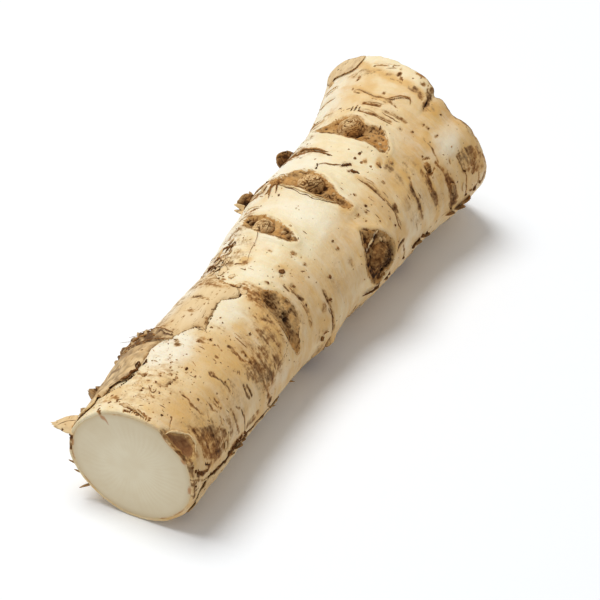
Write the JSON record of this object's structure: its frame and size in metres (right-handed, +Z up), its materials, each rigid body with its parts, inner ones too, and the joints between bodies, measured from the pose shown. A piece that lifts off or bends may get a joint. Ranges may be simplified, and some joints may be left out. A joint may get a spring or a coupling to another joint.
{
  "type": "horseradish root",
  "caption": "Cut length of fresh horseradish root lying on its side, with a knife-cut end, a flared crown and dormant buds.",
  "frame": {"origin": "on the surface that the root lies on, under the middle of its bounding box", "axes": "+X along the root from the knife-cut end to the crown, +Z up"},
  "size_m": [0.208, 0.0697, 0.066],
  "materials": {
    "root_skin": "matte",
    "cut_flesh": "satin",
    "dry_bark": "matte",
    "dark_buds": "matte"
  },
  "bodies": {
    "root": {"horseradish_root": "root_skin"}
  },
  "joints": []
}
